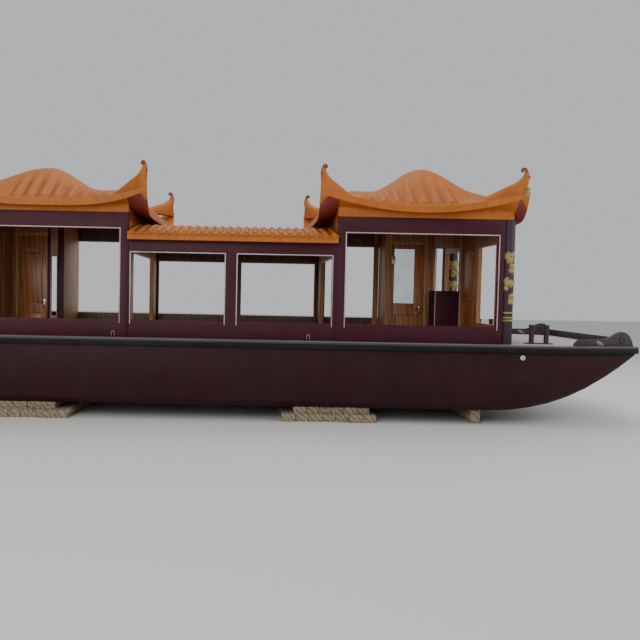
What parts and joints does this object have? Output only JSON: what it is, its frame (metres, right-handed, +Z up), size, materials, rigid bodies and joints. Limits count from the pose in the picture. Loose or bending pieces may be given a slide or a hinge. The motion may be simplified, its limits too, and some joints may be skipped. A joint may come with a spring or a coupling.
{
  "type": "traditional painted pleasure boat",
  "caption": "Flat-bottomed pleasure boat with humped, horned tile roofs on its high end cabins, a low middle cabin, gilt columns and open windows, standing on timber bearers.",
  "frame": {"origin": "midships on the centreline, on the floor under the timber bearers", "axes": "+X to the bow, +Y to port, +Z up"},
  "size_m": [10.53, 3.01, 3.3595],
  "materials": {
    "hull_paint": "satin dark maroon-brown paint",
    "rail_rubber": "dark green-black rubbing strip",
    "strip_paint": "light grey satin",
    "deck_paint": "matt grey-mauve deck paint",
    "maroon_paint": "satin purple-maroon paint",
    "ochre_gelcoat": "ochre-orange moulded roof, satin",
    "cabin_wood": "varnished brown wood",
    "light_wood": "light varnished wood",
    "plum_wood": "near-black plum lacquer",
    "motor_paint": "painted",
    "bronze": "dull bronze",
    "rudder_steel": "painted steel",
    "bearer_timber": "rough sawn softwood, dusty",
    "pane": "clear"
  },
  "bodies": {
    "boat": {"hull": "hull_paint", "rub_rail": "rail_rubber", "gunwale_capping": "strip_paint", "foredeck": "deck_paint", "aft_deck": "deck_paint", "cabin_sole": "cabin_wood", "motor": "motor_paint", "stern_tube": "bronze", "fore_roof": "ochre_gelcoat", "aft_roof": "ochre_gelcoat", "mid_roof": "ochre_gelcoat", "fore_roof_infill": "ochre_gelcoat", "aft_roof_infill": "ochre_gelcoat", "fore_portal": "light_wood", "aft_portal": "light_wood", "fore_bulkhead": "cabin_wood", "aft_bulkhead": "cabin_wood", "fore_cubicle": "light_wood", "toilet_cubicle": "light_wood", "fore_cabinet": "maroon_paint", "fore_steps": "cabin_wood", "aft_steps": "cabin_wood", "bow_board": "plum_wood", "fore_wall_stbd": "maroon_paint", "mid_wall_stbd": "maroon_paint", "aft_wall_stbd": "maroon_paint", "fore_column_stbd": "plum_wood", "aft_column_stbd": "plum_wood", "bow_cheek_stbd": "plum_wood", "bow_bitts_stbd": "plum_wood", "stern_bitts_stbd": "plum_wood", "fore_wall_port": "maroon_paint", "mid_wall_port": "maroon_paint", "aft_wall_port": "maroon_paint", "fore_column_port": "plum_wood", "aft_column_port": "plum_wood", "bow_cheek_port": "plum_wood", "bow_bitts_port": "plum_wood", "stern_bitts_port": "plum_wood", "bearer_aft_lower": "bearer_timber", "bearer_aft_upper": "bearer_timber", "bearer_mid_lower": "bearer_timber", "bearer_mid_upper": "bearer_timber", "bearer_fore": "bearer_timber"},
    "fore_door": {"fore_door": "cabin_wood"},
    "aft_door": {"aft_door": "cabin_wood"},
    "cubicle_door": {"fore_cubicle_door": "cabin_wood", "fore_cubicle_glass": "pane"},
    "toilet_door": {"toilet_door": "light_wood"},
    "propeller": {"propeller": "bronze"},
    "rudder": {"rudder": "rudder_steel"}
  },
  "joints": [
    {"name": "fore_door_hinge", "type": "hinge", "parent": "boat", "child": "fore_door", "pos_m": [3.4784, -0.3275, 1.7], "axis": [0, 0, -1], "range_deg": [0, 110]},
    {"name": "aft_door_hinge", "type": "hinge", "parent": "boat", "child": "aft_door", "pos_m": [-3.4784, 0.0275, 1.7], "axis": [0, 0, -1], "range_deg": [0, 110]},
    {"name": "cubicle_door_hinge", "type": "hinge", "parent": "boat", "child": "cubicle_door", "pos_m": [2.4345, 0.6916, 1.4], "axis": [0, 0, -1], "range_deg": [0, 95]},
    {"name": "toilet_door_hinge", "type": "hinge", "parent": "boat", "child": "toilet_door", "pos_m": [-3.3075, 0.3984, 1.4], "axis": [0, 0, 1], "range_deg": [0, 90]},
    {"name": "propeller_shaft", "type": "hinge", "parent": "boat", "child": "propeller", "pos_m": [-4.64, 0, 0.355], "axis": [1, 0, 0], "continuous": true},
    {"name": "rudder_stock", "type": "hinge", "parent": "boat", "child": "rudder", "pos_m": [-4.92, 0, 0.6], "axis": [0, 0, 1], "range_deg": [-35, 35]}
  ]
}
